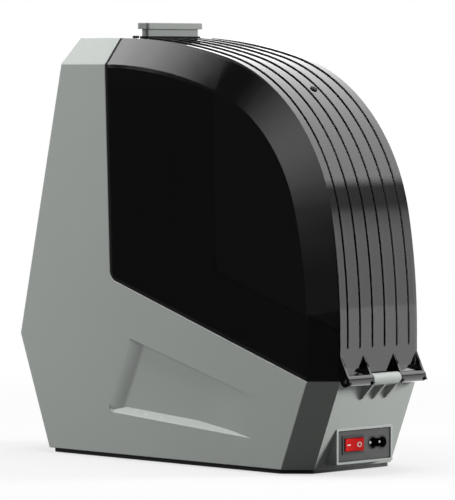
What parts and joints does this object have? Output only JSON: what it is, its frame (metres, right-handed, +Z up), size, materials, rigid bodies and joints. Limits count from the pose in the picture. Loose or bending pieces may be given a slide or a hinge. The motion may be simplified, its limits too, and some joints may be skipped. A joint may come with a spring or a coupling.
{
  "type": "filament dryer box",
  "caption": "Upright heated dryer box for a filament spool, with a smoke-tinted lid on a rear hinge, grooved rollers, a fan heater and a mains inlet with a rocker switch.",
  "frame": {"origin": "middle of the footprint's bounding box, on the surface that the feet stand on", "axes": "+Z up, -Y towards the front with the display, +Y towards the hinge and the power panel, +X to the right of someone who faces the display"},
  "size_m": [0.098, 0.2812, 0.2787],
  "materials": {
    "housing_grey": "satin moulded",
    "smoke_clear": "smoke-tinted, polished",
    "black_rubber": "matt",
    "black_plastic": "fine texture",
    "liner_plastic": "fine texture",
    "panel_grey": "fine texture",
    "steel": "bright",
    "aluminium": "extruded",
    "roller_nylon": "turned",
    "board_green": "solder mask",
    "display_black": "polished",
    "switch_red": "translucent",
    "plated_brass": "nickel plated"
  },
  "bodies": {
    "base": {"column_shell": "housing_grey", "side_panel_left": "housing_grey", "side_panel_right": "housing_grey", "grip_cup_left": "housing_grey", "grip_cup_right": "housing_grey", "rear_panel": "housing_grey", "base_plate": "black_plastic", "rubber_feet": "black_rubber", "base_screws": "steel", "chamber_floor": "liner_plastic", "front_partition": "liner_plastic", "roller_cradle_left": "black_plastic", "roller_cradle_right": "black_plastic", "axle_front": "steel", "axle_rear": "steel", "heater_block": "aluminium", "fan_frame": "black_plastic", "power_board": "board_green", "power_plate": "panel_grey", "switch_housing": "black_plastic", "inlet_socket": "black_plastic", "inlet_pins": "plated_brass", "display_lens": "display_black", "display_module": "black_plastic", "control_board": "board_green", "humidity_sensor": "black_plastic", "outlet_tube": "black_plastic", "lid_seal": "black_rubber", "hinge_pin": "steel"},
    "lid": {"lid_shell": "smoke_clear", "lid_handle": "housing_grey", "handle_gasket": "black_rubber", "handle_screws": "steel", "lid_plug": "black_rubber"},
    "fan_rotor": {"fan_rotor": "black_plastic"},
    "switch_rocker": {"switch_rocker": "switch_red"},
    "button_left": {"button_left": "black_plastic"},
    "button_middle": {"button_middle": "black_plastic"},
    "button_right": {"button_right": "black_plastic"},
    "roller_front_left": {"roller_front_left": "roller_nylon", "bearing_front_left": "steel"},
    "roller_front_right": {"roller_front_right": "roller_nylon", "bearing_front_right": "steel"},
    "roller_rear_left": {"roller_rear_left": "roller_nylon", "bearing_rear_left": "steel"},
    "roller_rear_right": {"roller_rear_right": "roller_nylon", "bearing_rear_right": "steel"}
  },
  "joints": [
    {"name": "lid_hinge", "type": "hinge", "parent": "base", "child": "lid", "pos_m": [0, 0.1358, 0.0592], "axis": [-1, 0, 0], "range_deg": [0, 100]},
    {"name": "power_switch", "type": "hinge", "parent": "base", "child": "switch_rocker", "pos_m": [0.0101, 0.1175, 0.018], "axis": [0, 0, 1], "range_deg": [0, 16]},
    {"name": "fan_spin", "type": "hinge", "parent": "base", "child": "fan_rotor", "pos_m": [0, 0.045, 0.0285], "axis": [0, 0, 1], "continuous": true},
    {"name": "roller_front_left_spin", "type": "hinge", "parent": "base", "child": "roller_front_left", "pos_m": [-0.031, -0.0333, 0.0493], "axis": [1, 0, 0], "continuous": true},
    {"name": "roller_front_right_spin", "type": "hinge", "parent": "base", "child": "roller_front_right", "pos_m": [0.031, -0.0333, 0.0493], "axis": [1, 0, 0], "continuous": true},
    {"name": "roller_rear_left_spin", "type": "hinge", "parent": "base", "child": "roller_rear_left", "pos_m": [-0.031, 0.0567, 0.0493], "axis": [1, 0, 0], "continuous": true},
    {"name": "roller_rear_right_spin", "type": "hinge", "parent": "base", "child": "roller_rear_right", "pos_m": [0.031, 0.0567, 0.0493], "axis": [1, 0, 0], "continuous": true},
    {"name": "button_left_press", "type": "slide", "parent": "base", "child": "button_left", "axis": [0, 0.976, -0.2178], "range_m": [0, 0.0008], "stiffness_N_per_m": 400, "springref_m": -0.0005},
    {"name": "button_middle_press", "type": "slide", "parent": "base", "child": "button_middle", "axis": [0, 0.976, -0.2178], "range_m": [0, 0.0008], "stiffness_N_per_m": 400, "springref_m": -0.0005},
    {"name": "button_right_press", "type": "slide", "parent": "base", "child": "button_right", "axis": [0, 0.976, -0.2178], "range_m": [0, 0.0008], "stiffness_N_per_m": 400, "springref_m": -0.0005}
  ]
}
